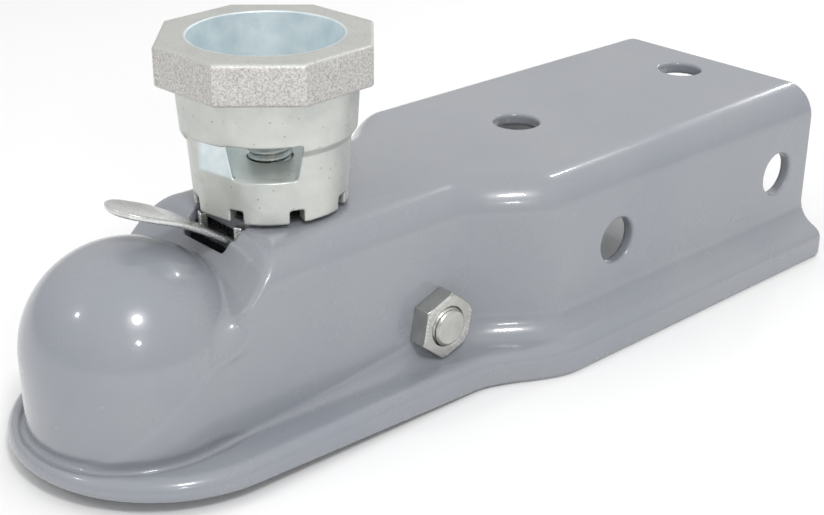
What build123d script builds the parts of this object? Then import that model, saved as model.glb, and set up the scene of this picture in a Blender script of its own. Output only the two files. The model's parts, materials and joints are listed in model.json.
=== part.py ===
from build123d import *
import math
import os

os.makedirs("parts", exist_ok=True)

# Handwheel trailer coupler. Millimetres. The origin is the centre of the ball socket,
# +X runs back along the trailer tongue and +Z is up.

# What the coupler fits
ball_radius = 25.4
socket_clearance = 0.4
tongue_half_width = 38.1
tongue_side_play = 2.7

# Housing
sheet = 4.2
top_drop = 0.8
rim_bottom_z = -31.0
rim_height = 6.0
flare_top_z = -20.0
shoulder_radius = 11.0
bend_end_x = 123.0
washer_bend_gap = 0.2
tail_x = 250.0
rim_nose_centre_x = 9.5
nose_lift = 5.0
nose_lift_x = 110.0
flare_inset = 0.7
bend_inset = 0.25
neck_flare = 13.5
channel_flare = 9.5
ramp_top_x = 30.0
ramp_foot_x = 14.0
ramp_drop = 18.4
dome_radius = ball_radius + socket_clearance + sheet
top_z = dome_radius - top_drop
ramp_foot_z = top_z - ramp_drop
channel_half = tongue_half_width + tongue_side_play + sheet
neck_inner_half = dome_radius - sheet
roof_z = top_z - sheet

# Fastening holes
mount_hole_radius = 7.4
mount_hole_x = 148.0
mount_hole_pitch = 84.0
side_hole_z = 2.0

# Draw bolt and handwheel
bolt_x = 48.8
bolt_radius = 6.35
bolt_reach = 24.2
thread_clearance = 0.06
roof_hole_clearance = 0.5
head_radius = 6.0
head_half_length = 14.5
thrust_washer_radius = 15.5
thrust_washer_thickness = 0.9
wheel_gap = 0.3
wheel_height = 47.4
wheel_turn = 4.0
skirt_radius = 21.6
skirt_taper = 1.2
skirt_top_height = 19.2
skirt_wall = 4.4
skirt_depth = 8.0
barrel_step = 1.7
barrel_step_height = 2.3
barrel_taper = 1.0
hub_radius = 12.0
cup_floor_height = 12.5
cup_floor_wall = 6.5
cup_mouth_wall = 4.0
flange_thickness = 11.6
flange_overhang = 5.9
flange_bevel = 1.2
window_low_half_width = 8.6
window_top_half_width = 10.6
window_height = 10.5
flat_lag = 39.0
flat_depth = 0.6
flat_top_height = 22.6
notch_count = 8
notch_width = 4.1
notch_depth = 3.8
wheel_bottom_z = top_z + thrust_washer_thickness + wheel_gap
skirt_top_radius = skirt_radius + skirt_taper
barrel_low_radius = skirt_top_radius + barrel_step
barrel_top_radius = barrel_low_radius + barrel_taper
cup_floor_radius = barrel_top_radius - cup_floor_wall
cup_mouth_radius = barrel_top_radius - cup_mouth_wall
flange_corner_radius = barrel_top_radius + flange_overhang
flat_distance = skirt_radius - flat_depth
half_pitch = 180 / notch_count
notch_angle = half_pitch + wheel_turn
window_angle = 180 + 2 * half_pitch + wheel_turn
bolt_top_z = wheel_bottom_z + bolt_reach

# Ball clamp and its cross bolt
pivot_x = 84.3
pivot_z = -9.5
pivot_bolt_radius = 6.0
pivot_hole_clearance = 0.25
sleeve_wall = 1.75
pivot_running_clearance = 0.05
boss_wall = 3.5
boss_side_gap = 0.8
clamp_half_width = 17.0
web_top_z = 3.0
web_bottom_z = -6.0
web_front_x = 37.5
web_rear_x = 60.0
jaw_thickness = 7.0
jaw_heel_angle = 20.0
jaw_tip_angle = 42.0
bolt_swing_room = 3.3
bolt_slot_clearance = 0.5
head_gap = 0.3
nut_across_flats = 18.0
nut_turn = 20.0
nut_thickness = 6.0
head_thickness = 7.5
bolt_tail = 1.5
flat_washer_radius = 10.0
flat_washer_thickness = 2.0

# Clamp spring and its seat
spring_mean_radius = 11.2
spring_wire = 2.6
spring_turns = 4
seat_radius = 14.5
seat_thickness = 1.5

# Latch lever
lever_thickness = 1.6
lever_drop = 4.8
lever_half_width = 8.8
lever_side_room = 7.2
lever_front_gap = 2.95
lever_spring_gap = 0.6
crossbar_rear_x = 65.6
lever_slot_gap = 0.6
lever_press_angle = 3.4
lever_lift_angle = 4.4
slot_low_drop = 6.3
leaf_slot_gap = 0.6
leaf_tip_length = 9.4
leaf_tip_x = -3.4
leaf_root_line = ((31.2, -7.6), (28.6, -5.0), (26.0, -2.9), (20.0, 1.1))
leaf_tip_line = ((13.6, 4.4), (8.0, 6.8), (0.0, 10.2), (-4.5, 12.2))
leaf_tip_slope = 0.45
tooth_inset = 1.3
tooth_radial = 2.2
tooth_width = 2.4
tooth_gap = 1.4
wing_half_length = 1.8
wing_rise = 2.6
pin_x = 70.0
pin_radius = 2.0
lug_gap = 0.4
lug_thickness = 2.2
lug_half_length = 3.5
lug_drop = 4.2
clip_radius = 3.6
clip_thickness = 0.8
pin_overhang = 0.6
torsion_mean_radius = 3.1
torsion_wire = 0.9
torsion_pitch = 1.05
torsion_turns = 5.5
torsion_leg = 7.5


def plan_sketch(height, nose_x, half, wide_half, bend_shift, end_x):
    """The coupler seen from above: round nose, straight neck, S bend, straight channel."""
    bend_start = pivot_x + flat_washer_radius + washer_bend_gap + bend_shift
    bend_end = bend_end_x + bend_shift
    with BuildSketch(Plane.XY.offset(height)) as sketch:
        with BuildLine():
            ThreePointArc((nose_x, -half), (nose_x - half, 0), (nose_x, half))
            Line((nose_x, half), (bend_start, half))
            Spline((bend_start, half), (bend_end, wide_half), tangents=((1, 0), (1, 0)))
            Line((bend_end, wide_half), (end_x, wide_half))
            Line((end_x, wide_half), (end_x, -wide_half))
            Line((end_x, -wide_half), (bend_end, -wide_half))
            Spline((bend_end, -wide_half), (bend_start, -half), tangents=((-1, 0), (-1, 0)))
            Line((bend_start, -half), (nose_x, -half))
        make_face()
    return sketch.sketch


def coupler_body(inset, end_x, bottom_z):
    """The housing's outside when inset is 0, or the space inside a sheet that thick."""
    drop = flare_inset * inset
    shift = bend_inset * inset
    flare_z = flare_top_z - drop
    rim_top_z = rim_bottom_z + rim_height - drop
    half = dome_radius - inset
    wide = channel_half - inset
    rim_half = dome_radius + neck_flare - inset
    rim_wide = channel_half + channel_flare - inset
    walls = plan_sketch(flare_z, 0, half, wide, shift, end_x)
    rim = plan_sketch(rim_top_z, rim_nose_centre_x, rim_half, rim_wide, shift, end_x)
    with BuildPart() as body:
        extrude(walls, amount=top_z - inset - flare_z)
        top_edges = body.faces().sort_by(Axis.Z)[-1].edges()
        fillet([e for e in top_edges if e.center().X < end_x - 1], shoulder_radius - inset)
        with BuildSketch(Plane.XZ):
            with BuildLine():
                Polyline(
                    (ramp_top_x, top_z),
                    (ramp_foot_x, ramp_foot_z),
                    (0, 0),
                    (-2 * dome_radius, 0),
                    (-2 * dome_radius, 2 * top_z),
                    (ramp_top_x, 2 * top_z),
                    close=True,
                )
            make_face()
            if inset > 0:
                offset(amount=inset, kind=Kind.INTERSECTION)
        extrude(amount=2 * channel_half, both=True, mode=Mode.SUBTRACT)
        Sphere(half, arc_size1=0, arc_size2=90, align=(Align.CENTER, Align.CENTER, Align.MIN))
        extrude(plan_sketch(flare_z, 0, half, wide, shift, end_x), amount=-flare_z)
        loft([rim, walls], ruled=True)
        extrude(rim, amount=bottom_z - rim_top_z)
    return body.part


outside = coupler_body(0, tail_x, rim_bottom_z)
inside = coupler_body(sheet, tail_x + sheet, rim_bottom_z - sheet)

# Where the latch lever comes out: a slot in the ramp that widens for the two teeth
lever_z = roof_z - lever_drop
wing_z = lever_z + wing_rise
lever_frame_half = neck_inner_half - lever_side_room
slot_low_z = top_z - slot_low_drop
slot_half = lever_half_width + leaf_slot_gap
tooth_radial_centre = skirt_radius - tooth_inset
tooth_angles = (180 - half_pitch + wheel_turn, 180 + half_pitch + wheel_turn)
teeth_y = [tooth_radial_centre * math.sin(math.radians(angle)) for angle in tooth_angles]
wing_x = bolt_x - tooth_radial_centre * math.cos(math.radians(half_pitch))
lever_frame_front_x = wing_x + lever_front_gap
wing_y = sum(teeth_y) / 2
wing_half_width = (max(teeth_y) - min(teeth_y) + tooth_width) / 2
press_drop = (pin_x - wing_x) * math.sin(math.radians(lever_press_angle))
ramp_angle = math.atan2(top_z - ramp_foot_z, ramp_top_x - ramp_foot_x)
slot_low_x = ramp_top_x - (top_z - slot_low_z) / math.tan(ramp_angle)
punch_reach = sheet + lever_thickness
punch_x = slot_low_x + punch_reach * math.sin(ramp_angle)
punch_z = slot_low_z - punch_reach * math.cos(ramp_angle)
tooth_slot_low_z = wing_z - lever_thickness / 2 - press_drop - lever_slot_gap
tooth_slot_half = wing_half_width + abs(wing_y) + lever_slot_gap
tooth_top_z = wheel_bottom_z - tooth_gap
lean_back = (tooth_top_z - lever_z) * math.sin(math.radians(lever_lift_angle))
tooth_slot_length = 2 * (wing_half_length + lever_slot_gap) + lean_back

# The rim's lower edge rises towards the nose
rim_nose_x = rim_nose_centre_x - dome_radius - neck_flare
lift_slope = nose_lift / (nose_lift_x - rim_nose_x)
lift_front_x = 2 * rim_nose_x
lift_front_z = rim_bottom_z + (nose_lift_x - lift_front_x) * lift_slope

with BuildPart() as housing:
    add(outside)
    add(inside, mode=Mode.SUBTRACT)
    with BuildSketch(Plane.XZ):
        with BuildLine():
            Polyline(
                (nose_lift_x, rim_bottom_z),
                (lift_front_x, lift_front_z),
                (lift_front_x, rim_bottom_z),
                close=True,
            )
        make_face()
    extrude(amount=2 * channel_half, both=True, mode=Mode.SUBTRACT)
    with Locations((mount_hole_x, 0, roof_z), (mount_hole_x + mount_hole_pitch, 0, roof_z)):
        Cylinder(mount_hole_radius, 4 * sheet, mode=Mode.SUBTRACT)
    with Locations((mount_hole_x, 0, side_hole_z), (mount_hole_x + mount_hole_pitch, 0, side_hole_z)):
        Cylinder(mount_hole_radius, 3 * channel_half, rotation=(90, 0, 0), mode=Mode.SUBTRACT)
    with Locations((pivot_x, 0, pivot_z)):
        Cylinder(
            pivot_bolt_radius + pivot_hole_clearance,
            3 * dome_radius,
            rotation=(90, 0, 0),
            mode=Mode.SUBTRACT,
        )
    with Locations((bolt_x, 0, roof_z)):
        Cylinder(bolt_radius + roof_hole_clearance, 4 * sheet, mode=Mode.SUBTRACT)
    with BuildSketch(Plane.XZ):
        with BuildLine():
            Polyline(
                (slot_low_x, slot_low_z),
                (punch_x, punch_z),
                (lever_frame_front_x, punch_z),
                (lever_frame_front_x, roof_z),
                (wing_x, roof_z),
                (wing_x, top_z),
                (slot_low_x, top_z),
                close=True,
            )
        make_face()
    extrude(amount=slot_half, both=True, mode=Mode.SUBTRACT)
    with Locations((wing_x + lean_back / 2, 0, tooth_slot_low_z)):
        Box(
            tooth_slot_length,
            2 * tooth_slot_half,
            top_z,
            align=(Align.CENTER, Align.CENTER, Align.MIN),
            mode=Mode.SUBTRACT,
        )
housing.part.label = "housing"
export_step(housing.part, "parts/housing.step")

# Handwheel: a cast cup on a notched skirt, with a threaded hub in its floor
wheel_top_z = wheel_bottom_z + wheel_height
flange_bottom_z = wheel_top_z - flange_thickness
cup_floor_z = wheel_bottom_z + cup_floor_height
skirt_inner_radius = skirt_radius - skirt_wall
skirt_roof_z = wheel_bottom_z + skirt_depth
skirt_top_z = wheel_bottom_z + skirt_top_height

with BuildPart() as handwheel:
    with BuildSketch(Plane.XZ.shift_origin((bolt_x, 0, 0))):
        with BuildLine():
            Polyline(
                (bolt_radius + thread_clearance, wheel_bottom_z),
                (hub_radius, wheel_bottom_z),
                (hub_radius, skirt_roof_z),
                (skirt_inner_radius, skirt_roof_z),
                (skirt_inner_radius, wheel_bottom_z),
                (skirt_radius, wheel_bottom_z),
                (skirt_top_radius, skirt_top_z),
                (barrel_low_radius, skirt_top_z + barrel_step_height),
                (barrel_top_radius, flange_bottom_z),
                (barrel_top_radius, wheel_top_z),
                (cup_mouth_radius, wheel_top_z),
                (cup_floor_radius, cup_floor_z),
                (bolt_radius + thread_clearance, cup_floor_z),
                close=True,
            )
        make_face()
    revolve(axis=Axis((bolt_x, 0, 0), (0, 0, 1)))
    with BuildSketch(Plane.XY.offset(flange_bottom_z)):
        with Locations((bolt_x, 0)):
            RegularPolygon(flange_corner_radius, notch_count, rotation=notch_angle)
            Circle(barrel_top_radius - 1, mode=Mode.SUBTRACT)
    extrude(amount=flange_thickness)
    chamfer(handwheel.faces().sort_by(Axis.Z)[-1].outer_wire().edges(), flange_bevel)
    for turn in (0, 180):
        facing = Plane(Location((bolt_x, 0, 0), (0, 0, window_angle + turn)))
        side = Plane(facing.origin, x_dir=facing.y_dir, z_dir=facing.x_dir)
        with BuildSketch(side):
            with BuildLine():
                Polyline(
                    (-window_low_half_width, cup_floor_z),
                    (window_low_half_width, cup_floor_z),
                    (window_top_half_width, cup_floor_z + window_height),
                    (-window_top_half_width, cup_floor_z + window_height),
                    close=True,
                )
            make_face()
        extrude(amount=2 * barrel_top_radius, mode=Mode.SUBTRACT)
    with Locations((bolt_x, 0, wheel_bottom_z)):
        with PolarLocations(flat_distance, 2, start_angle=window_angle - flat_lag):
            Box(
                skirt_wall,
                skirt_radius,
                flat_top_height,
                align=(Align.MIN, Align.CENTER, Align.MIN),
                mode=Mode.SUBTRACT,
            )
        with PolarLocations((skirt_radius + skirt_inner_radius) / 2, notch_count, start_angle=notch_angle):
            Box(
                2 * skirt_wall,
                notch_width,
                notch_depth,
                align=(Align.CENTER, Align.CENTER, Align.MIN),
                mode=Mode.SUBTRACT,
            )
handwheel.part.label = "handwheel"
export_step(handwheel.part, "parts/handwheel.step")

with BuildPart() as thrust_washer:
    with BuildSketch(Plane.XY.offset(top_z)):
        with Locations((bolt_x, 0)):
            Circle(thrust_washer_radius)
            Circle(bolt_radius + roof_hole_clearance, mode=Mode.SUBTRACT)
    extrude(amount=thrust_washer_thickness)
thrust_washer.part.label = "thrust_washer"
export_step(thrust_washer.part, "parts/thrust_washer.step")

# Draw bolt: a threaded shank with a round cross head that rocks under the clamp
head_z = web_bottom_z - head_gap - head_radius

with BuildPart() as draw_bolt:
    with BuildSketch(Plane.XY.offset(head_z)):
        with Locations((bolt_x, 0)):
            Circle(bolt_radius)
    extrude(amount=bolt_top_z - head_z)
    chamfer(draw_bolt.faces().sort_by(Axis.Z)[-1].edges(), bolt_radius / 8)
    with Locations((bolt_x, 0, head_z)):
        Cylinder(head_radius, 2 * head_half_length, rotation=(90, 0, 0))
draw_bolt.part.label = "draw_bolt"
export_step(draw_bolt.part, "parts/draw_bolt.step")

# Ball clamp: a casting that grips the ball from behind and swings on the cross bolt
socket_radius = ball_radius + socket_clearance
sleeve_radius = pivot_bolt_radius + pivot_hole_clearance + sleeve_wall
boss_radius = sleeve_radius + boss_wall
boss_half_width = neck_inner_half - boss_side_gap


def ball_point(angle, radius):
    """A point behind the socket centre, the angle counted down from +X."""
    turn = math.radians(angle)
    return (radius * math.cos(turn), -radius * math.sin(turn))


bolt_slot_half_length = bolt_radius + bolt_swing_room
slot_width = 2 * (bolt_radius + bolt_slot_clearance)

with BuildPart() as ball_clamp:
    with BuildSketch(Plane.XZ):
        with BuildLine():
            Polyline(
                ball_point(0, socket_radius / 2),
                (socket_radius / 2, web_top_z),
                (web_rear_x, web_top_z),
                (pivot_x, pivot_z + boss_radius),
                (pivot_x, pivot_z - boss_radius),
                (web_rear_x, web_bottom_z),
                (web_front_x, web_bottom_z),
                ball_point(jaw_heel_angle, socket_radius + 2 * jaw_thickness),
                ball_point(jaw_tip_angle, socket_radius + jaw_thickness),
                ball_point(jaw_tip_angle, socket_radius / 2),
                close=True,
            )
        make_face()
    extrude(amount=clamp_half_width, both=True)
    with Locations((pivot_x, 0, pivot_z)):
        Cylinder(boss_radius, 2 * boss_half_width, rotation=(90, 0, 0))
        Cylinder(
            sleeve_radius + pivot_running_clearance,
            4 * boss_half_width,
            rotation=(90, 0, 0),
            mode=Mode.SUBTRACT,
        )
    Sphere(socket_radius, mode=Mode.SUBTRACT)
    with BuildSketch(Plane.XY.offset(rim_bottom_z)):
        with Locations((bolt_x, 0)):
            SlotOverall(2 * bolt_slot_half_length, slot_width)
    extrude(amount=top_z - rim_bottom_z, mode=Mode.SUBTRACT)
ball_clamp.part.label = "ball_clamp"
export_step(ball_clamp.part, "parts/ball_clamp.step")

with BuildPart() as spring_seat:
    with BuildSketch(Plane.XY.offset(web_top_z)):
        with Locations((bolt_x, 0)):
            Circle(seat_radius)
            SlotOverall(2 * bolt_slot_half_length, slot_width, mode=Mode.SUBTRACT)
    extrude(amount=seat_thickness)
spring_seat.part.label = "spring_seat"
export_step(spring_seat.part, "parts/spring_seat.step")

spring_low_z = web_top_z + seat_thickness + spring_wire / 2
spring_high_z = roof_z - spring_wire / 2

with BuildPart() as clamp_spring:
    with BuildLine():
        coil = Helix(
            (spring_high_z - spring_low_z) / spring_turns,
            spring_high_z - spring_low_z,
            spring_mean_radius,
            center=(bolt_x, 0, spring_low_z),
        )
    with BuildSketch(Plane(coil @ 0, z_dir=coil % 0)):
        Circle(spring_wire / 2)
    sweep(path=coil, is_frenet=True)
clamp_spring.part.label = "clamp_spring"
export_step(clamp_spring.part, "parts/clamp_spring.step")

with BuildPart() as pivot_sleeve:
    with BuildSketch(Plane.XZ.offset(-neck_inner_half)):
        with Locations((pivot_x, pivot_z)):
            Circle(sleeve_radius)
            Circle(pivot_bolt_radius + pivot_hole_clearance, mode=Mode.SUBTRACT)
    extrude(amount=2 * neck_inner_half)
pivot_sleeve.part.label = "pivot_sleeve"
export_step(pivot_sleeve.part, "parts/pivot_sleeve.step")

# Cross bolt from the far side, its nut on the near side
head_face_y = dome_radius + flat_washer_thickness
nut_corner_radius = nut_across_flats / math.sqrt(3)

with BuildPart() as pivot_bolt:
    with BuildSketch(Plane.XZ.offset(-head_face_y)):
        with Locations((pivot_x, pivot_z)):
            Circle(pivot_bolt_radius)
    extrude(amount=head_face_y + dome_radius + nut_thickness + bolt_tail)
    chamfer(pivot_bolt.faces().sort_by(Axis.Y)[0].edges(), pivot_bolt_radius / 6)
    with BuildSketch(Plane.XZ.offset(-head_face_y)):
        with Locations((pivot_x, pivot_z)):
            RegularPolygon(nut_corner_radius, 6, rotation=nut_turn)
    extrude(amount=-head_thickness)
pivot_bolt.part.label = "pivot_bolt"
export_step(pivot_bolt.part, "parts/pivot_bolt.step")

with BuildPart() as pivot_nut:
    with BuildSketch(Plane.XZ.offset(dome_radius)):
        with Locations((pivot_x, pivot_z)):
            RegularPolygon(nut_corner_radius, 6, rotation=nut_turn)
            Circle(pivot_bolt_radius + thread_clearance, mode=Mode.SUBTRACT)
    extrude(amount=nut_thickness)
pivot_nut.part.label = "pivot_nut"
export_step(pivot_nut.part, "parts/pivot_nut.step")

with BuildPart() as head_washer:
    with BuildSketch(Plane.XZ.offset(-dome_radius)):
        with Locations((pivot_x, pivot_z)):
            Circle(flat_washer_radius)
            Circle(pivot_bolt_radius + pivot_hole_clearance, mode=Mode.SUBTRACT)
    extrude(amount=-flat_washer_thickness)
head_washer.part.label = "head_washer"
export_step(head_washer.part, "parts/head_washer.step")

# Latch lever: a sprung plate under the roof, its tongue coming out through the ramp
frame_window_radius = spring_mean_radius + spring_wire / 2 + lever_spring_gap
frame_middle_x = (lever_frame_front_x + crossbar_rear_x) / 2
frame_length = crossbar_rear_x - lever_frame_front_x
eye_radius = pin_radius + lever_thickness

with BuildPart() as latch_lever:
    with BuildLine(Plane.XZ):
        leaf_points = [(x, top_z + rise) for x, rise in leaf_root_line + leaf_tip_line]
        leaf_path = Spline(
            [(lever_frame_front_x, lever_z)] + leaf_points,
            tangents=((-1, 0), (-1, leaf_tip_slope)),
        )
    with BuildSketch(Plane(leaf_path @ 0, x_dir=(0, 1, 0), z_dir=leaf_path % 0)):
        Rectangle(2 * lever_half_width, lever_thickness)
    sweep(path=leaf_path)
    with BuildSketch(Plane.XY):
        with Locations((leaf_tip_x + leaf_tip_length, 0)):
            Ellipse(leaf_tip_length, lever_half_width)
            Rectangle(
                lever_frame_front_x,
                2 * lever_half_width,
                align=(Align.MIN, Align.CENTER),
            )
    extrude(amount=2 * top_z, mode=Mode.INTERSECT)
    with Locations((frame_middle_x, 0, lever_z)):
        Box(frame_length, 2 * lever_frame_half, lever_thickness)
    with Locations((bolt_x, 0, lever_z)):
        Cylinder(frame_window_radius, 2 * lever_thickness, mode=Mode.SUBTRACT)
    for side in (-1, 1):
        arm_width = lever_frame_half - frame_window_radius
        arm_y = side * (lever_frame_half + frame_window_radius) / 2
        with Locations(((bolt_x + pin_x) / 2, arm_y, lever_z)):
            Box(pin_x - bolt_x, arm_width, lever_thickness)
        with Locations((pin_x, arm_y, lever_z)):
            Cylinder(eye_radius, arm_width, rotation=(90, 0, 0))
            Cylinder(
                pin_radius + pivot_running_clearance,
                2 * arm_width,
                rotation=(90, 0, 0),
                mode=Mode.SUBTRACT,
            )
    with Locations((wing_x, wing_y, wing_z)):
        Box(2 * wing_half_length, 2 * wing_half_width, lever_thickness)
    with Locations((bolt_x, 0, wing_z)):
        for angle in tooth_angles:
            with PolarLocations(tooth_radial_centre, 1, start_angle=angle):
                Box(
                    tooth_radial,
                    tooth_width,
                    tooth_top_z - wing_z,
                    align=(Align.CENTER, Align.CENTER, Align.MIN),
                )
latch_lever.part.label = "latch_lever"
export_step(latch_lever.part, "parts/latch_lever.step")

lug_y = lever_frame_half + lug_gap + lug_thickness / 2
clip_y = lever_frame_half + lug_gap + lug_thickness + clip_thickness / 2
pin_half = clip_y + clip_thickness / 2 + pin_overhang

with BuildPart() as latch_lugs:
    for side in (-1, 1):
        with Locations((pin_x, side * lug_y, lever_z - lug_drop)):
            Box(
                2 * lug_half_length,
                lug_thickness,
                top_z - lever_z + lug_drop,
                align=(Align.CENTER, Align.CENTER, Align.MIN),
            )
    add(inside, mode=Mode.INTERSECT)
    with Locations((pin_x, 0, lever_z)):
        Cylinder(pin_radius, 4 * lug_y, rotation=(90, 0, 0), mode=Mode.SUBTRACT)
latch_lugs.part.label = "latch_lugs"
export_step(latch_lugs.part, "parts/latch_lugs.step")

with BuildPart() as latch_pin:
    with Locations((pin_x, 0, lever_z)):
        Cylinder(pin_radius, 2 * pin_half, rotation=(90, 0, 0))
latch_pin.part.label = "latch_pin"
export_step(latch_pin.part, "parts/latch_pin.step")

with BuildPart() as pin_clips:
    for side in (-1, 1):
        with Locations((pin_x, side * clip_y, lever_z)):
            Cylinder(clip_radius, clip_thickness, rotation=(90, 0, 0))
    with Locations((pin_x, 0, lever_z)):
        Cylinder(pin_radius, 4 * clip_y, rotation=(90, 0, 0), mode=Mode.SUBTRACT)
pin_clips.part.label = "pin_clips"
export_step(pin_clips.part, "parts/pin_clips.step")

# Torsion spring on the pin: one leg lies under the roof, the other under the lever's crossbar
torsion_length = torsion_turns * torsion_pitch

with BuildPart() as latch_spring:
    with BuildLine():
        winding = Helix(
            torsion_pitch,
            torsion_length,
            torsion_mean_radius,
            center=(pin_x, -torsion_length / 2, lever_z),
            direction=(0, 1, 0),
        )
    with BuildSketch(Plane(winding @ 0, z_dir=winding % 0)):
        Circle(torsion_wire / 2)
    sweep(path=winding, is_frenet=True)
    for end, heading in ((winding @ 0, -(winding % 0)), (winding @ 1, winding % 1)):
        with BuildSketch(Plane(end, z_dir=heading)):
            Circle(torsion_wire / 2)
        extrude(amount=torsion_leg)
latch_spring.part.label = "latch_spring"
export_step(latch_spring.part, "parts/latch_spring.step")
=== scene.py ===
import json
import math

import bpy
import numpy as np
from mathutils import Matrix, Vector


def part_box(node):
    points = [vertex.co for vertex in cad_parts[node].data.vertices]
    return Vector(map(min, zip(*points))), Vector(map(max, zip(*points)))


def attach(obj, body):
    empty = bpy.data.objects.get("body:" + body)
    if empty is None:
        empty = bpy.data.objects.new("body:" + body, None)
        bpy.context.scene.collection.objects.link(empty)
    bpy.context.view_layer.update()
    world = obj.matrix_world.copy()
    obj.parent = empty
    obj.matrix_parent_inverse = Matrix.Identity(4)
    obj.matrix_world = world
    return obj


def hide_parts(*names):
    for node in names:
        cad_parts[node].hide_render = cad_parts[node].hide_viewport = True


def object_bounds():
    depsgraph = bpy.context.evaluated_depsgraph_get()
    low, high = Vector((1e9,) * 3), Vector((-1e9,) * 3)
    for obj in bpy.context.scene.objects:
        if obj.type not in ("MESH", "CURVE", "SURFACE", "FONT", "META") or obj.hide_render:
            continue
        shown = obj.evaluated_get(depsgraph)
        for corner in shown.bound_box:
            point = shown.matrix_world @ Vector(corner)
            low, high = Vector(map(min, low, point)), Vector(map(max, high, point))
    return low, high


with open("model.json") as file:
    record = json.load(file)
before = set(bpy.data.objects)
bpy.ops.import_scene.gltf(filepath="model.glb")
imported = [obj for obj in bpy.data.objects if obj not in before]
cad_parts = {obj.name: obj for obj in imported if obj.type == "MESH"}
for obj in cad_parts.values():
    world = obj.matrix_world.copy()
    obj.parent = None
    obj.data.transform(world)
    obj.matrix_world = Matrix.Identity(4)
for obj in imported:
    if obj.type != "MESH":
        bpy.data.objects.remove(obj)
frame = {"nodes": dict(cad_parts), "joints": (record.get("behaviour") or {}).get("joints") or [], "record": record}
cad_low, cad_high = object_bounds()

MM = 0.001
mounts = {m["name"]: m for m in frame["record"]["mounts"]}
joints = {j["name"]: j for j in frame["joints"]}


def box_mm(node):
    """Lowest and highest corners of a CAD node, in millimetres."""
    low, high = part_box(node)
    return np.array(low) / MM, np.array(high) / MM


# ---------------------------------------------------------------- distance fields, in millimetres
def round_min(a, b, radius):
    """Union of two fields with a fillet of this radius."""
    fillet = np.hypot(np.maximum(radius - a, 0), np.maximum(radius - b, 0))
    return np.maximum(radius, np.minimum(a, b)) - fillet


def round_max(a, b, radius):
    """Intersection of two fields with a rounded edge of this radius."""
    rounding = np.hypot(np.maximum(radius + a, 0), np.maximum(radius + b, 0))
    return np.minimum(-radius, np.maximum(a, b)) + rounding


def cut(a, b, radius):
    """The first field with the second taken out of it."""
    return round_max(a, -b, radius)


def blend_step(value):
    """0 below 0, 1 above 1 and smooth between."""
    t = np.clip(value, 0, 1)
    return t * t * (3 - 2 * t)


def slab(value, middle, half):
    """Distance to a layer that far each way from its middle."""
    return np.abs(value - middle) - half


def block(x, y, z, middle, half, radius=0.3):
    """A box with rounded edges."""
    q = [np.abs(v - m) - h + radius for v, m, h in zip((x, y, z), middle, half)]
    outer = np.sqrt(sum(np.maximum(v, 0) ** 2 for v in q))
    return outer + np.minimum(np.maximum(np.maximum(q[0], q[1]), q[2]), 0) - radius


def polygon(u, v, points):
    """Distance to a closed outline in the plane of u and v."""
    best = np.full(np.shape(u), 1e9)
    sign = np.ones(np.shape(u))
    for (ax, ay), (bx, by) in zip(points, points[-1:] + points[:-1]):
        ex, ey = bx - ax, by - ay
        wx, wy = u - ax, v - ay
        t = np.clip((wx * ex + wy * ey) / (ex * ex + ey * ey), 0, 1)
        best = np.minimum(best, (wx - ex * t) ** 2 + (wy - ey * t) ** 2)
        c1, c2, c3 = v >= ay, v < by, ex * wy > ey * wx
        sign = np.where((c1 & c2 & c3) | (~c1 & ~c2 & ~c3), -sign, sign)
    return sign * np.sqrt(best)


def hexagon(u, v, half_flat, turn):
    angles = [turn + k * math.pi / 3 for k in range(6)]
    return np.maximum.reduce([u * math.cos(a) + v * math.sin(a) for a in angles]) - half_flat


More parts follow.
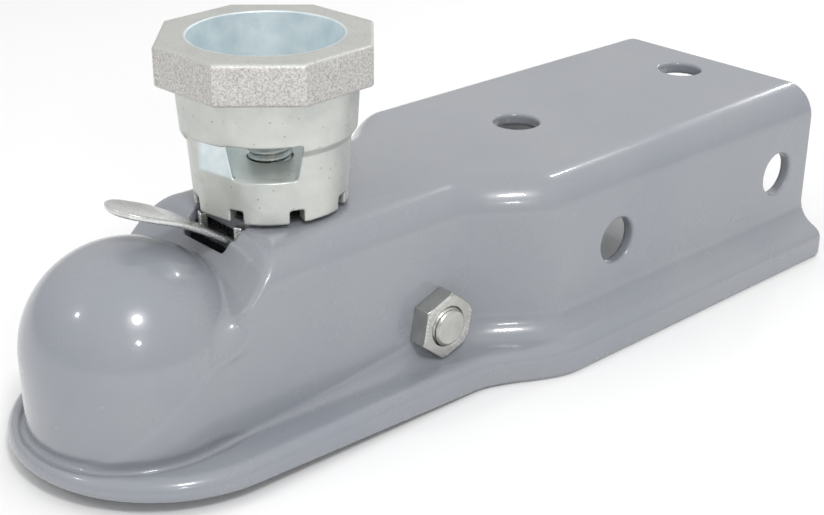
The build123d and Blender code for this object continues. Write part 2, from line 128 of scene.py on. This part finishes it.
def mesh_of(name, field, low, high, step, material):
    """A smooth quad mesh of the surface where the field is zero."""
    axes = [np.arange(a - 2 * step, b + 2.5 * step, step) for a, b in zip(low, high)]
    start = np.array([a[0] for a in axes])
    values = field(*np.meshgrid(*axes, indexing="ij"))
    inside = values < 0
    shape = np.array(values.shape) - 1
    offsets = np.array([(i, j, k) for i in (0, 1) for j in (0, 1) for k in (0, 1)])
    count = np.zeros(shape, np.uint8)
    for i, j, k in offsets:
        count += inside[i : i + shape[0], j : j + shape[1], k : k + shape[2]]
    cells = np.argwhere((count > 0) & (count < 8))
    corner = np.stack([values[tuple((cells + o).T)] for o in offsets], 1)
    total, hits = np.zeros((len(cells), 3)), np.zeros(len(cells))
    for a in range(8):
        for b in range(a + 1, 8):
            if np.abs(offsets[a] - offsets[b]).sum() == 1:
                crossing = (corner[:, a] < 0) != (corner[:, b] < 0)
                gap = np.where(crossing, corner[:, a] - corner[:, b], 1)
                along = np.where(crossing, corner[:, a] / gap, 0)[:, None]
                total += crossing[:, None] * (offsets[a] + along * (offsets[b] - offsets[a]))
                hits += crossing
    points = start + (cells + total / hits[:, None]) * step
    number = np.full(shape, -1, np.int64)
    number[tuple(cells.T)] = np.arange(len(cells))
    quads = []
    for axis in range(3):
        u, v = (axis + 1) % 3, (axis + 2) % 3
        near = np.take(inside, range(values.shape[axis] - 1), axis)
        far = np.take(inside, range(1, values.shape[axis]), axis)
        edges = np.argwhere(near != far)
        starts_inside = near[tuple(edges.T)]
        ring = []
        for du, dv in ((-1, -1), (0, -1), (0, 0), (-1, 0)):
            cell = edges.copy()
            cell[:, u] += du
            cell[:, v] += dv
            ring.append(number[tuple(cell.T)])
        ring = np.stack(ring, 1)
        ring[~starts_inside] = ring[~starts_inside][:, ::-1]
        quads.append(ring)
    quads = np.concatenate(quads)
    reach = step / 4
    for _ in range(3):
        slope = np.zeros_like(points)
        for axis in range(3):
            shift = np.zeros(3)
            shift[axis] = reach / 2
            slope[:, axis] = (field(*(points + shift).T) - field(*(points - shift).T)) / reach
        steepness = np.maximum((slope**2).sum(1), 0.25)
        move = np.clip(field(*points.T) / steepness, -step / 2, step / 2)
        points = points - move[:, None] * slope
    points = np.clip(points, low, high) * MM
    mesh = bpy.data.meshes.new(name)
    mesh.vertices.add(len(points))
    mesh.vertices.foreach_set("co", points.astype(np.float32).ravel())
    mesh.loops.add(quads.size)
    mesh.loops.foreach_set("vertex_index", quads.astype(np.int32).ravel())
    mesh.polygons.add(len(quads))
    mesh.polygons.foreach_set("loop_start", np.arange(0, quads.size, 4, dtype=np.int32))
    mesh.polygons.foreach_set("use_smooth", np.ones(len(quads), bool))
    mesh.update(calc_edges=True)
    mesh.validate()
    mesh.materials.append(material)
    piece = bpy.data.objects.new(name, mesh)
    bpy.context.scene.collection.objects.link(piece)
    return piece


def stand_for(piece, node, body):
    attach(piece, body)
    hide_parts(node)


# ---------------------------------------------------------------- materials
class Graph:
    """A material's nodes, with short calls for the ones used often."""

    def __init__(self, name, metallic, coat=0.0, coat_roughness=0.05, specular=0.5):
        self.material = bpy.data.materials.new(name)
        self.material.use_nodes = True
        self.nodes = self.material.node_tree.nodes
        self.links = self.material.node_tree.links
        self.shader = self.nodes["Principled BSDF"]
        self.shader.inputs["Metallic"].default_value = metallic
        self.shader.inputs["Coat Weight"].default_value = coat
        self.shader.inputs["Coat Roughness"].default_value = coat_roughness
        self.shader.inputs["Specular IOR Level"].default_value = specular
        self.place = self.nodes.new("ShaderNodeTexCoord").outputs["Object"]

    def noise(self, scale, detail=4.0, rough=0.55):
        node = self.nodes.new("ShaderNodeTexNoise")
        node.inputs["Scale"].default_value = scale
        node.inputs["Detail"].default_value = detail
        node.inputs["Roughness"].default_value = rough
        self.links.new(self.place, node.inputs["Vector"])
        return node.outputs["Fac"]

    def cells(self, scale):
        node = self.nodes.new("ShaderNodeTexVoronoi")
        node.inputs["Scale"].default_value = scale
        self.links.new(self.place, node.inputs["Vector"])
        return node.outputs["Distance"]

    def ranged(self, value, low, high, to_low=0.0, to_high=1.0):
        node = self.nodes.new("ShaderNodeMapRange")
        for name, number in (("From Min", low), ("From Max", high), ("To Min", to_low), ("To Max", to_high)):
            node.inputs[name].default_value = number
        self.links.new(value, node.inputs["Value"])
        return node.outputs["Result"]

    def math(self, kind, a, b):
        node = self.nodes.new("ShaderNodeMath")
        node.operation = kind
        for socket, value in zip(node.inputs, (a, b)):
            if isinstance(value, (int, float)):
                socket.default_value = value
            else:
                self.links.new(value, socket)
        return node.outputs[0]

    def mix(self, factor, a, b):
        node = self.nodes.new("ShaderNodeMix")
        node.data_type = "RGBA"
        self.links.new(factor, node.inputs["Factor"])
        for name, value in (("A", a), ("B", b)):
            socket = [s for s in node.inputs if s.name == name and s.type == "RGBA"][0]
            if isinstance(value, tuple):
                socket.default_value = (*value, 1)
            else:
                self.links.new(value, socket)
        return [s for s in node.outputs if s.type == "RGBA"][0]

    def axis(self, name):
        node = self.nodes.new("ShaderNodeSeparateXYZ")
        self.links.new(self.place, node.inputs[0])
        return node.outputs[name]

    def edges(self, low, high):
        return self.ranged(self.nodes.new("ShaderNodeNewGeometry").outputs["Pointiness"], low, high)

    def bump(self, height, strength, distance, under=None):
        node = self.nodes.new("ShaderNodeBump")
        node.inputs["Strength"].default_value = strength
        node.inputs["Distance"].default_value = distance
        self.links.new(height, node.inputs["Height"])
        if under is not None:
            self.links.new(under, node.inputs["Normal"])
        return node.outputs["Normal"]

    def finish(self, colour, roughness, normal):
        self.links.new(colour, self.shader.inputs["Base Color"])
        self.links.new(roughness, self.shader.inputs["Roughness"])
        self.links.new(normal, self.shader.inputs["Normal"])
        return self.material


def enamel():
    g = Graph("grey_enamel", 0.0, coat=0.5, coat_roughness=0.06)
    cloud = g.mix(g.ranged(g.noise(22), 0.35, 0.65), (0.262, 0.278, 0.312), (0.286, 0.299, 0.324))
    speck = g.mix(g.ranged(g.cells(300), 0.015, 0.03), (0.235, 0.247, 0.272), cloud)
    worn = g.mix(g.math("MULTIPLY", g.edges(0.53, 0.60), 0.35), speck, (0.36, 0.375, 0.40))
    rough = g.ranged(g.noise(60), 0.3, 0.7, 0.19, 0.31)
    peel = g.bump(g.noise(260, 2.0), 0.10, 0.00025)
    return g.finish(worn, rough, g.bump(g.noise(30, 0.0), 0.10, 0.0006, peel))


def zinc(name, tone, dark, grain=900.0, rough=(0.26, 0.42), depth=0.00012):
    g = Graph(name, 0.92)
    body = g.mix(g.ranged(g.noise(130), 0.35, 0.68), tone, tuple(0.80 * c for c in tone))
    pits = g.mix(g.ranged(g.cells(520), 0.02, 0.10), dark, body)
    worn = g.mix(g.math("MULTIPLY", g.edges(0.52, 0.60), 0.5), pits, (0.86, 0.86, 0.84))
    return g.finish(worn, g.ranged(g.noise(grain), 0.3, 0.7, *rough), g.bump(g.noise(grain), 0.35, depth))


def casting(axis_x, flange_z, floor_z, top, bore_radius):
    """Zinc on a casting: a smooth body, sand-cast flange sides and a machined bore."""
    g = Graph("zinc_casting", 0.72)
    along, across = g.math("SUBTRACT", g.axis("X"), axis_x), g.axis("Y")
    squares = g.math("ADD", g.math("MULTIPLY", along, along), g.math("MULTIPLY", across, across))
    radius = g.math("SQRT", squares, 0.0)
    height = g.axis("Z")
    in_bore = g.math(
        "MULTIPLY",
        g.ranged(radius, bore_radius + 0.0008, bore_radius + 0.0002),
        g.ranged(height, floor_z, floor_z + 0.001),
    )
    above = g.ranged(height, flange_z - 0.0003, flange_z + 0.0003)
    on_flange = g.math("MULTIPLY", above, g.ranged(in_bore, 1, 0))
    on_flange = g.math("MULTIPLY", on_flange, g.ranged(height, top - 0.0002, top - 0.0012, 0.25, 1.0))
    body = g.mix(g.ranged(g.noise(90), 0.35, 0.7), (0.62, 0.635, 0.60), (0.53, 0.55, 0.525))
    body = g.mix(g.ranged(g.cells(330), 0.03, 0.12), (0.30, 0.30, 0.28), body)
    sand = g.mix(g.ranged(g.noise(1700, 6.0, 0.75), 0.36, 0.58), (0.36, 0.35, 0.34), (0.72, 0.70, 0.68))
    bore = g.mix(g.ranged(g.noise(140), 0.35, 0.65), (0.70, 0.80, 0.84), (0.86, 0.93, 0.95))
    colour = g.mix(in_bore, g.mix(on_flange, body, sand), bore)
    rough = g.ranged(g.noise(500), 0.3, 0.7, 0.34, 0.52)
    coarse = g.math("MULTIPLY", g.noise(1300, 6.0, 0.7), on_flange)
    fine = g.bump(g.noise(420, 3.0), 0.22, 0.00022)
    return g.finish(colour, rough, g.bump(coarse, 0.8, 0.00045, fine))


def plain(name, tone, metallic, rough, depth=0.00015, grain=700.0):
    g = Graph(name, metallic)
    colour = g.mix(g.ranged(g.noise(180), 0.35, 0.65), tone, tuple(0.72 * c for c in tone))
    return g.finish(colour, g.ranged(g.noise(grain), 0.3, 0.7, *rough), g.bump(g.noise(grain), 0.4, depth))


# ---------------------------------------------------------------- sizes that the fields share
house_low, house_high = box_mm("housing")
wheel_low, wheel_high = box_mm("handwheel")
bolt_low, bolt_high = box_mm("draw_bolt")
_, lever_high = box_mm("latch_lever")
nut_low, nut_high = box_mm("pivot_nut")
cross_low, cross_high = box_mm("pivot_bolt")
bolt_x = joints["handwheel_spin"]["pos_m"][0] / MM
pivot_x, _, pivot_z = (v / MM for v in joints["clamp_swing"]["pos_m"])
pin_x, _, pin_z = (v / MM for v in joints["latch_press"]["pos_m"])
top_z = mounts["top_holes"]["pos_m"][2] / MM
side_z = mounts["near_side_holes"]["pos_m"][2] / MM
hole_radius = mounts["top_holes"]["dims"]["hole_r_mm"]
hole_middle = mounts["top_holes"]["pos_m"][0] / MM
hole_pitch = mounts["top_holes"]["dims"]["spacing_x_mm"]
hole_x = (hole_middle - hole_pitch / 2, hole_middle + hole_pitch / 2)
channel_half = mounts["far_side_holes"]["pos_m"][1] / MM
dome = -nut_high[1]
sheet = 4.2
roof_z = top_z - sheet
bolt_radius = 6.35
cross_radius = 6.0
hex_turn = math.radians(50.0)
wheel_turn = math.radians(4.0)
eighth = math.pi / 8

# Housing
shoulder_radius = 11.0
wall_bend_start, wall_bend_length = 94.5, 28.5
lip_bend_start, lip_bend_length = 89.0, 33.0
ramp_top_x, ramp_foot_x, ramp_foot_z = 30.0, 14.0, 10.8
lip_centre_x, lip_half, lip_widening = 9.5, 43.5, 11.0
lip_top_z, lip_round = -20.5, 4.0
nose_lift, nose_lift_x = 5.0, 110.0
roof_hole_clearance, side_hole_clearance = 0.5, 0.25

# Handwheel: radii, then heights above its lower end, then the flange, windows, flats and notches
hub_radius, skirt_inner, skirt_radius, skirt_top_radius = 12.0, 17.2, 21.6, 22.8
barrel_low_radius, barrel_radius, mouth_radius, floor_radius = 24.5, 25.5, 21.5, 19.0
skirt_depth, floor_height, skirt_top, step_top = 8.0, 12.5, 19.2, 21.5
flange_height, flange_corner = 11.6, 31.4
window_half, window_flare, window_height = 8.6, 2.0, 10.5
flat_lag, flat_distance, flat_half, flat_top = math.radians(39.0), 21.0, 10.8, 22.6
notch_half, notch_depth, notch_inner = 2.05, 3.8, 14.0

# Bolts
draw_pitch, draw_depth = 1.954, 1.05
cross_pitch, cross_depth = 1.75, 0.85
hex_half, hex_head_half, thread_clearance = 9.0, 3.75, 0.06
round_head_radius = 6.0

# Latch lever, and the slot it comes out of
plate_half, frame_front_x, frame_rear_x, frame_window = 0.8, 33.0, 65.6, 13.1
eye_radius, eye_bore = 3.6, 2.05
tooth_middle, tooth_radial_half, tooth_half = 20.3, 1.1, 1.2
leaf_half, leaf_tip_length, leaf_tip_x = 8.8, 9.4, -3.4
slot_half, slot_low, punch = 9.4, (24.52, 22.9), (28.90, 19.09)
slot_front_x, slot_front_z, slot_top_z = 23.4, 23.9, 30.5
wing, wing_half = (30.05, -1.31, 22.8), (1.8, 8.95)
tooth_slot_middle, tooth_slot_half = (wing[0] + 0.34, 0.0, 33.0), (2.74, 10.86, 13.8)
SLOT = [
    slot_low,
    punch,
    (frame_front_x, punch[1]),
    (frame_front_x, roof_z),
    (wing[0], roof_z),
    (wing[0], slot_top_z),
    (slot_front_x, slot_top_z),
    (slot_front_x, slot_front_z),
]


# ---------------------------------------------------------------- housing
def s_bend(x, start, length, rise):
    """How far a wall has moved out along an S bend, and its slope there."""
    t = np.clip((x - start) / length, 0, 1)
    return rise * t * t * (3 - 2 * t), rise * 6 * t * (1 - t) / length


def outer_skin(x, y, z):
    """The housing's outside: walls, ramp, ball dome, and the lip with the groove behind it."""
    y = np.abs(y)
    out, lean = s_bend(x, wall_bend_start, wall_bend_length, channel_half - dome)
    side = np.where(x < 0, np.hypot(x, y) - dome, (y - dome - out) / np.sqrt(1 + lean**2))
    prism = round_max(side, z - top_z, shoulder_radius)
    run, fall = ramp_top_x - ramp_foot_x, top_z - ramp_foot_z
    steep = ((z - top_z) * run - (x - ramp_top_x) * fall) / math.hypot(run, fall)
    shallow = (z * ramp_foot_x - x * ramp_foot_z) / math.hypot(ramp_foot_x, ramp_foot_z)
    fade = blend_step((x - 4) / 8) * blend_step(z / 6) * (1 - blend_step((z - 9) / 7))
    prism = round_max(prism, round_min(steep, shallow, 3.0), 2.0 + 7.0 * fade)
    ball = np.sqrt(x * x + y * y + np.maximum(z, 0) ** 2) - dome
    body = round_min(prism, ball, 1.0 + 6.0 * fade)
    out, lean = s_bend(x, lip_bend_start, lip_bend_length, lip_widening)
    nose = np.hypot(x - lip_centre_x, y) - lip_half
    lip_side = np.where(x < lip_centre_x, nose, (y - lip_half - out) / np.sqrt(1 + lean**2))
    rim = round_max(lip_side, z - lip_top_z, lip_round)
    skin = round_min(body, rim, 0.9 + 8.0 * blend_step((x - 5) / 105))
    groove = np.hypot(body - 0.8, z + 20.2) - 1.6 + 3.2 * blend_step((x - 5) / 25)
    return cut(skin, groove, 0.8)


def housing_field(x, y, z):
    skin = outer_skin(x, y, z)
    shell = round_max(skin, -(skin + sheet), 0.6)
    lower_edge = house_low[2] + np.maximum(nose_lift_x - x, 0) * nose_lift / (nose_lift_x - house_low[0])
    shell = round_max(shell, lower_edge - z, 1.6)
    shell = round_max(shell, x - house_high[0], 1.0)
    for hx in hole_x:
        shell = cut(shell, np.hypot(x - hx, y) - hole_radius, 0.9)
        shell = cut(shell, np.hypot(x - hx, z - side_z) - hole_radius, 0.9)
    shell = cut(shell, np.hypot(x - pivot_x, z - pivot_z) - cross_radius - side_hole_clearance, 0.3)
    shell = cut(shell, np.hypot(x - bolt_x, y) - bolt_radius - roof_hole_clearance, 0.3)
    punched = round_max(polygon(x, z, SLOT), slab(y, 0, slot_half), 1.0)
    shell = cut(shell, punched, 0.4)
    teeth = block(x, y, z, tooth_slot_middle, tooth_slot_half, 0.6)
    return cut(shell, teeth, 0.3)


# ---------------------------------------------------------------- handwheel
low_z, high_z = wheel_low[2], wheel_high[2]
flange_z = high_z - flange_height
floor_z = low_z + floor_height
tooth_top = low_z - 1.4
PROFILE = [
    (bolt_radius + thread_clearance, low_z),
    (hub_radius, low_z),
    (hub_radius, low_z + skirt_depth),
    (skirt_inner, low_z + skirt_depth),
    (skirt_inner, low_z),
    (skirt_radius, low_z),
    (skirt_top_radius, low_z + skirt_top),
    (barrel_low_radius, low_z + step_top),
    (barrel_radius, flange_z),
    (barrel_radius, high_z),
    (mouth_radius, high_z),
    (floor_radius, floor_z),
    (bolt_radius + thread_clearance, floor_z),
]


def turned(x, y, angle):
    """Distances along and across a direction from the wheel's axis."""
    u, v = x - bolt_x, y
    return u * math.cos(angle) + v * math.sin(angle), v * math.cos(angle) - u * math.sin(angle)


def wheel_field(x, y, z):
    radius = np.hypot(x - bolt_x, y)
    solid = polygon(radius, z, PROFILE)
    sides = np.maximum.reduce([turned(x, y, wheel_turn + k * 2 * eighth)[0] for k in range(8)])
    octagon = round_max(
        sides - flange_corner * math.cos(eighth),
        slab(z, (flange_z + high_z) / 2, flange_height / 2),
        1.1,
    )
    octagon = np.maximum(octagon, skirt_radius + (z - high_z) * 0.06 - radius)
    solid = round_min(solid, octagon, 0.5)
    window = math.pi + 2 * eighth + wheel_turn
    for face in (window, window + math.pi):
        along, across = turned(x, y, face)
        half = window_half + window_flare * (z - floor_z) / window_height
        level = slab(z, floor_z + window_height / 2, window_height / 2)
        opening = round_max(np.abs(across) - half, level, 0.9)
        solid = cut(solid, np.maximum(opening, -along), 0.5)
        along, across = turned(x, y, face - flat_lag)
        flat = np.maximum(flat_distance - along, slab(z, low_z, flat_top))
        solid = cut(solid, np.maximum(flat, np.abs(across) - flat_half), 0.4)
    for k in range(8):
        along, across = turned(x, y, eighth + wheel_turn + k * 2 * eighth)
        notch = round_max(np.abs(across) - notch_half, z - low_z - notch_depth, 0.7)
        solid = cut(solid, np.maximum(notch, notch_inner - along), 0.5)
    return solid


# ---------------------------------------------------------------- bolts, nut and lever
def thread(radius, along, around, pitch, depth):
    """A helical V thread cut into a shank of this radius."""
    phase = np.mod(along / pitch - around / (2 * math.pi), 1.0)
    return radius - depth * np.abs(2 * phase - 1)


def draw_bolt_field(x, y, z):
    u = x - bolt_x
    reach = np.hypot(u, y)
    shank = (reach - thread(bolt_radius, z, np.arctan2(y, u), draw_pitch, draw_depth)) * 0.8
    shank = round_max(shank, z - bolt_high[2], 0.2)
    shank = np.maximum(shank, (reach - bolt_radius + 1.1 + (z - bolt_high[2]) * 0.9) * 0.74)
    head_z = bolt_low[2] + round_head_radius
    shank = np.maximum(shank, head_z - z)
    head = round_max(np.hypot(u, z - head_z) - round_head_radius, np.abs(y) - bolt_high[1], 0.8)
    return round_min(shank, head, 0.6)


def cross_bolt_field(x, y, z):
    u, w = x - pivot_x, z - pivot_z
    reach = np.hypot(u, w)
    cut_depth = np.where(y < nut_high[1] + 0.5, cross_depth, 0.0)
    shank = (reach - thread(cross_radius, y, np.arctan2(w, u), cross_pitch, cut_depth)) * 0.8
    shank = np.maximum(shank, cross_low[1] - y)
    shank = np.maximum(shank, (reach - cross_radius + 1.0 + (cross_low[1] - y) * 0.9) * 0.74)
    level = slab(y, cross_high[1] - hex_head_half, hex_head_half)
    head = round_max(hexagon(u, w, hex_half, hex_turn), level, 0.3)
    head = np.maximum(head, (reach - 9.4 + (y - cross_high[1]) * 1.6) * 0.53)
    return np.minimum(np.maximum(shank, y - cross_high[1] + 0.5), head)


def nut_field(x, y, z):
    u, w = x - pivot_x, z - pivot_z
    reach = np.hypot(u, w)
    middle, half = (nut_low[1] + nut_high[1]) / 2, (nut_high[1] - nut_low[1]) / 2
    solid = round_max(hexagon(u, w, hex_half, hex_turn), slab(y, middle, half), 0.25)
    for face in (nut_low[1] - y, y - nut_high[1]):
        solid = np.maximum(solid, (reach - 9.5 + face * 1.7) * 0.51)
    return cut(solid, reach - cross_radius - thread_clearance, 0.5)


LEAF = np.array(
    [
        (33.0, 20.2), (31.2, 21.6), (28.6, 24.2), (26.0, 26.3), (23.0, 28.5),
        (20.0, 30.3), (13.6, 33.6), (8.0, 36.0), (0.0, 39.4), (-4.5, 41.4),
    ]
)[::-1]


def leaf_field(x, y, z):
    """The leaf: a strip 1.6 mm thick along its line, with a rounded tip and turned-up edges."""
    lift = 0.012 * (y * y - 26.0) * blend_step((22 - x) / 12)
    best = np.full(np.shape(x), 1e9)
    for (ax, az), (bx, bz) in zip(LEAF[:-1], LEAF[1:]):
        ex, ez = bx - ax, bz - az
        wx, wz = x - ax, z - lift - az
        t = np.clip((wx * ex + wz * ez) / (ex * ex + ez * ez), 0, 1)
        best = np.minimum(best, (wx - ex * t) ** 2 + (wz - ez * t) ** 2)
    strip = np.sqrt(best) - plate_half
    ahead = np.minimum(x - leaf_tip_x - leaf_tip_length, 0)
    tip = (np.hypot(ahead / leaf_tip_length, y / leaf_half) - 1) * 8.0
    return round_max(strip, tip, 0.5)


def lever_field(x, y, z):
    side_half = lever_high[1]
    arm_middle, arm_half = (side_half + frame_window) / 2, (side_half - frame_window) / 2
    middle_x, half_x = (frame_front_x + frame_rear_x) / 2, (frame_rear_x - frame_front_x) / 2
    plate = block(x, y, z, (middle_x, 0, pin_z), (half_x, side_half, plate_half), 0.4)
    side = np.abs(y)
    arm_place = ((bolt_x + pin_x) / 2, arm_middle, pin_z)
    arms = block(x, side, z, arm_place, ((pin_x - bolt_x) / 2, arm_half, plate_half), 0.4)
    plate = cut(plate, np.hypot(x - bolt_x, y) - frame_window, 0.3)
    eye = round_max(np.hypot(x - pin_x, z - pin_z) - eye_radius, slab(side, arm_middle, arm_half), 0.4)
    solid = round_min(np.minimum(plate, arms), eye, 0.5)
    solid = cut(solid, np.hypot(x - pin_x, z - pin_z) - eye_bore, 0.2)
    solid = np.minimum(solid, leaf_field(x, y, z))
    solid = np.minimum(solid, block(x, y, z, wing, (*wing_half, plate_half), 0.3))
    for angle in (math.pi - eighth + wheel_turn, math.pi + eighth + wheel_turn):
        along, across = turned(x, y, angle)
        middle = (tooth_middle, 0, (wing[2] + tooth_top) / 2)
        half = (tooth_radial_half, tooth_half, (tooth_top - wing[2]) / 2)
        solid = np.minimum(solid, block(along, across, z, middle, half, 0.25))
    return solid


# ---------------------------------------------------------------- pieces
grey = enamel()
cast = casting(bolt_x * MM, flange_z * MM, floor_z * MM, high_z * MM, (mouth_radius - 0.1) * MM)
steel = zinc("zinc_steel", (0.56, 0.56, 0.53), (0.24, 0.23, 0.21))
spring = zinc("spring_steel", (0.74, 0.75, 0.73), (0.28, 0.28, 0.26), rough=(0.20, 0.34))
# Washer under the wheel's skirt, coloured near black: painted shadow for the dark line between the skirt and the
# housing.
skirt_shadow_washer = plain("black_washer", (0.022, 0.022, 0.024), 0.0, (0.45, 0.62))
dark = plain("dark_casting", (0.16, 0.165, 0.17), 0.75, (0.42, 0.62), 0.0003, 420.0)

CAD_FINISH = {
    "thrust_washer": skirt_shadow_washer,
    "ball_clamp": dark,
    "spring_seat": steel,
    "clamp_spring": spring,
    "pivot_sleeve": steel,
    "head_washer": steel,
    "latch_lugs": grey,
    "latch_pin": steel,
    "pin_clips": spring,
    "latch_spring": spring,
}
for node, finish in CAD_FINISH.items():
    carried = frame["nodes"][node]
    if not carried.material_slots:
        carried.data.materials.append(finish)
    for place in carried.material_slots:
        place.material = finish

PIECES = (
    ("housing_shell", housing_field, "housing", "body", "grey_enamel", grey, 0.8),
    ("handwheel_cup", wheel_field, "handwheel", "wheel", "zinc_casting", cast, 0.4),
    ("draw_bolt_thread", draw_bolt_field, "draw_bolt", "screw", "zinc_steel", steel, 0.3),
    ("cross_bolt_thread", cross_bolt_field, "pivot_bolt", "body", "zinc_steel", steel, 0.3),
    ("cross_bolt_nut", nut_field, "pivot_nut", "body", "zinc_steel", steel, 0.2),
    ("latch_leaf", lever_field, "latch_lever", "latch", "spring_steel", spring, 0.3),
)
for name, field, node, body, slot, material, step in PIECES:
    low, high = box_mm(node)
    stand_for(mesh_of(name, field, low, high, step, material), node, body)

# ---------------------------------------------------------------- floor, light and camera
def sheet_floor():
    g = Graph("pale_floor", 0.0, specular=0.2)
    colour = g.mix(g.ranged(g.noise(3), 0.3, 0.7), (0.90, 0.90, 0.90), (0.93, 0.93, 0.93))
    material = g.finish(colour, g.ranged(g.noise(40), 0.3, 0.7, 0.7, 0.8), g.bump(g.noise(400), 0.02, 0.0001))
    mesh = bpy.data.meshes.new("floor")
    reach, level = 6.0, cad_low.z
    corners = [(-reach, -reach, level), (reach, -reach, level), (reach, reach, level), (-reach, reach, level)]
    mesh.from_pydata(corners, [], [(0, 1, 2, 3)])
    mesh.materials.append(material)
    floor = bpy.data.objects.new("floor", mesh)
    bpy.context.scene.collection.objects.link(floor)


def lamp(name, azimuth, elevation, distance, size, power):
    """A round lamp that far from the origin, facing it."""
    data = bpy.data.lights.new(name, "AREA")
    data.shape, data.size, data.energy = "DISK", size, power
    light = bpy.data.objects.new(name, data)
    a, e = math.radians(azimuth), math.radians(elevation)
    towards = Vector((math.cos(a) * math.cos(e), math.sin(a) * math.cos(e), math.sin(e)))
    light.location = towards * distance
    light.rotation_euler = (-towards).to_track_quat("-Z", "Y").to_euler()
    bpy.context.scene.collection.objects.link(light)


sheet_floor()
for name, azimuth, elevation, size, power in (
    ("key_round", -109, 52, 0.15, 2.6),
    ("key_small", -113, 29, 0.08, 0.5),
    ("left_round", 161, 41, 0.07, 0.35),
    ("back_round", 4, 42, 0.06, 0.35),
    ("back_small", 15, 22, 0.06, 0.3),
):
    lamp(name, azimuth, elevation, 0.9, size, power)

world = bpy.data.worlds.new("studio")
world.use_nodes = True
world.node_tree.nodes["Background"].inputs["Color"].default_value = (1, 1, 1, 1)
sky = world.node_tree
place = sky.nodes.new("ShaderNodeTexCoord").outputs["Generated"]
split = sky.nodes.new("ShaderNodeSeparateXYZ")
height = sky.nodes.new("ShaderNodeMapRange")
for name, number in (("From Min", 0.0), ("From Max", 1.0), ("To Min", 0.50), ("To Max", 1.05)):
    height.inputs[name].default_value = number
sky.links.new(place, split.inputs[0])
sky.links.new(split.outputs["Z"], height.inputs["Value"])
sky.links.new(height.outputs["Result"], sky.nodes["Background"].inputs["Strength"])
bpy.context.scene.world = world
bpy.context.scene.view_settings.view_transform = "Standard"

camera_data = bpy.data.cameras.new("camera")
camera_data.sensor_width = 36.0
camera_data.lens = 65.21
camera_data.clip_start, camera_data.clip_end = 0.01, 50.0
camera = bpy.data.objects.new("camera", camera_data)
right = Vector((0.73876, -0.67395, 0.00510)).normalized()
forward = Vector((0.61353, 0.66937, -0.41896)).normalized()
up = right.cross(forward).normalized()
turn = Matrix((right, up, -forward)).transposed()
camera.matrix_world = Matrix.Translation((-0.18505, -0.31384, 0.19104)) @ turn.to_4x4()
bpy.context.scene.collection.objects.link(camera)
bpy.context.scene.camera = camera
